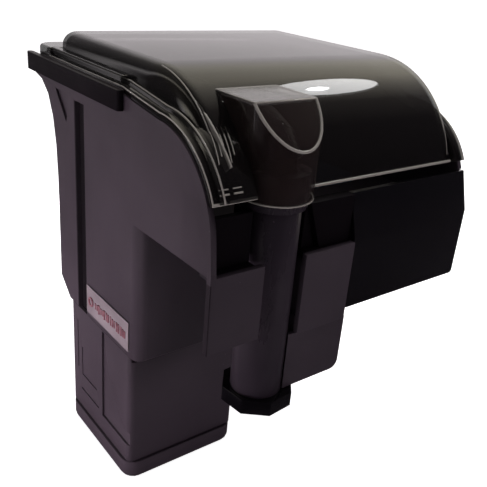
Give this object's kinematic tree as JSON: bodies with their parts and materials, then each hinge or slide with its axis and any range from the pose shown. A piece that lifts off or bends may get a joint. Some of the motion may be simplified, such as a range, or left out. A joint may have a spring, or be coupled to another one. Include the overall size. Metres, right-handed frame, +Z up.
{
  "type": "hang-on-back aquarium filter",
  "caption": "Aquarium power filter that hangs on the tank rim, with smoked curved lid, intake tube with strainer, waterfall spill panel, media chamber and motor box below.",
  "frame": {"origin": "middle of the underside of the overhang, the face that rests on the tank's rim", "axes": "+X along the tank wall, to the right seen from inside the tank; +Y away from the tank, towards the filter's back; +Z up"},
  "size_m": [0.1872, 0.1996, 0.2521],
  "materials": {
    "shell_black": "injection-moulded black ABS, satin",
    "gloss_black": "glossy black plastic",
    "smoked_clear": "smoked transparent plastic",
    "tube_black": "semi-gloss black plastic",
    "motor_black": "satin black plastic",
    "rubber_black": "black rubber",
    "label_white": null,
    "screw_steel": "zinc-plated steel",
    "lamination": "stacked electrical steel",
    "copper_wire": "enamelled copper wire",
    "nylon_white": "natural nylon",
    "ferrite": "sintered ferrite",
    "ceramic_white": "polished alumina ceramic",
    "foam_blue": "open-cell filter foam",
    "carbon_black": "carbon-loaded fleece",
    "ceramic_rings": "porous ceramic rings, loose fill",
    "basket_grey": "grey plastic"
  },
  "bodies": {
    "housing": {"body_shell": "shell_black", "front_panel": "gloss_black", "intake_guide": "shell_black", "intake_tube": "tube_black", "intake_elbow": "tube_black", "volute_cup": "basket_grey", "volute_cover": "basket_grey", "motor_shell": "motor_black", "motor_base": "motor_black", "base_screw_1": "screw_steel", "base_screw_2": "screw_steel", "base_screw_3": "screw_steel", "base_screw_4": "screw_steel", "stator_core": "lamination", "coil_bobbin": "nylon_white", "coil_winding": "copper_wire", "rotor_shaft": "ceramic_white", "lower_bush": "rubber_black", "upper_bush": "rubber_black", "motor_seal": "rubber_black", "cable_gland": "rubber_black", "chamber_divider": "shell_black", "media_basket": "basket_grey", "ceramic_media": "ceramic_rings", "carbon_pad": "carbon_black", "filter_sponge": "foam_blue", "label_plate": "label_white"},
    "lid": {"lid_dome": "smoked_clear", "intake_hood": "smoked_clear"},
    "rotor": {"rotor_magnet": "ferrite", "impeller": "nylon_white"},
    "strainer_cup": {"strainer": "gloss_black"}
  },
  "joints": [
    {"name": "lid_lift", "type": "slide", "parent": "housing", "child": "lid", "axis": [0, 0, 1], "range_m": [0, 0.06]},
    {"name": "rotor_spin", "type": "hinge", "parent": "housing", "child": "rotor", "pos_m": [-0.047, 0.081, -0.08], "axis": [0, 0, 1], "continuous": true},
    {"name": "strainer_pull", "type": "slide", "parent": "housing", "child": "strainer_cup", "axis": [0, 0, -1], "range_m": [0, 0.03]}
  ]
}
